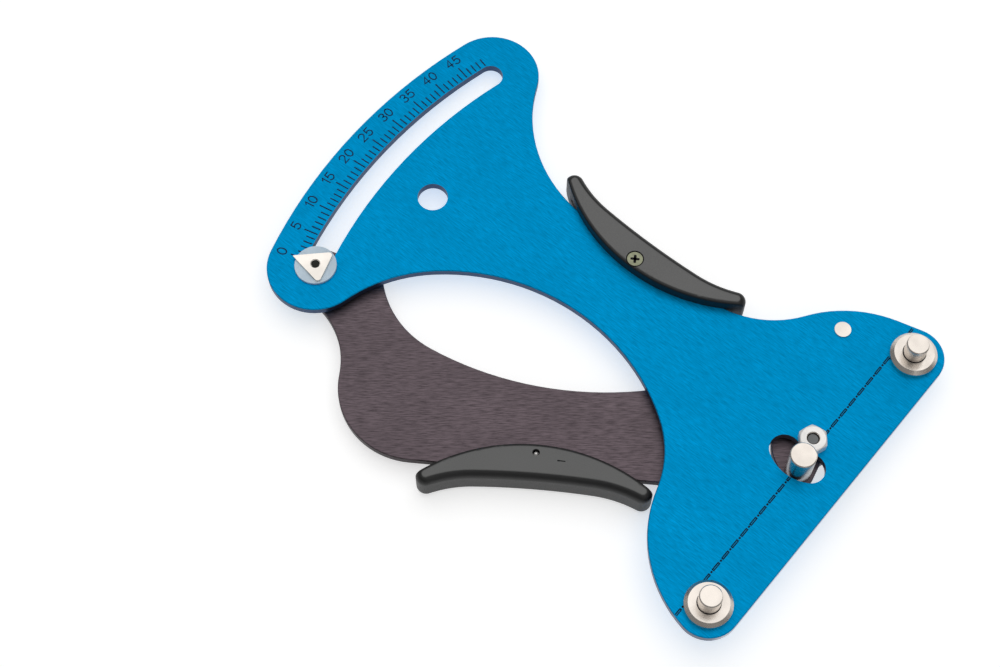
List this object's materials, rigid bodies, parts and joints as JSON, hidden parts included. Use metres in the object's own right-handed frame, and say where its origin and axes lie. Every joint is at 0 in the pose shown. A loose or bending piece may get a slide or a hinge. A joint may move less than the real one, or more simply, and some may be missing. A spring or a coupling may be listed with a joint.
{
  "type": "spoke tension meter",
  "caption": "Hand-squeezed gauge: a lever and a fixed plate bend a bicycle spoke between posts while a pointer sweeps a curved scale.",
  "frame": {"origin": "centre of the hang hole, on the front plate's printed face", "axes": "+Z out of the printed face, +Y along the spoke from the lower fixed post to the upper one, +X from the scale to the posts"},
  "size_m": [0.224, 0.1602, 0.0229],
  "materials": {
    "blue_plate": "brushed and blue anodised",
    "bright_steel": "bright nickel plate",
    "zinc_steel": "zinc plate",
    "yellow_zinc": "yellow zinc plate",
    "spring_wire": "plated spring wire",
    "dark_lever": "brushed, dark purplish grey",
    "bronze": "plain turned",
    "nylon": "natural, slightly cloudy",
    "black_moulding": "fine matte"
  },
  "bodies": {
    "front": {"front_plate": "blue_plate", "fixed_post_upper": "bright_steel", "fixed_post_lower": "bright_steel", "pivot_screw": "zinc_steel", "pivot_nut": "bright_steel", "pivot_washer": "zinc_steel", "pivot_spacer": "nylon", "spring_anchor_front": "bright_steel", "front_handle": "black_moulding", "front_handle_screw": "yellow_zinc", "return_spring": "spring_wire"},
    "lever": {"lever_plate": "dark_lever", "pivot_bushing": "bronze", "moving_post": "bright_steel", "spring_anchor_rear": "bright_steel", "rear_handle": "black_moulding", "rear_handle_screw": "yellow_zinc", "pointer": "bright_steel", "pointer_guide": "nylon", "pointer_spacer": "nylon", "pointer_screw": "zinc_steel", "pointer_washer": "zinc_steel"}
  },
  "joints": [
    {"name": "lever_pivot", "type": "hinge", "parent": "front", "child": "lever", "pos_m": [0.164, 0.0101, 0], "axis": [0, 0, -1], "range_deg": [0, 31.9], "stiffness_Nm_per_rad": 0.4, "springref_deg": -22.92, "deforming": ["return_spring"]}
  ]
}
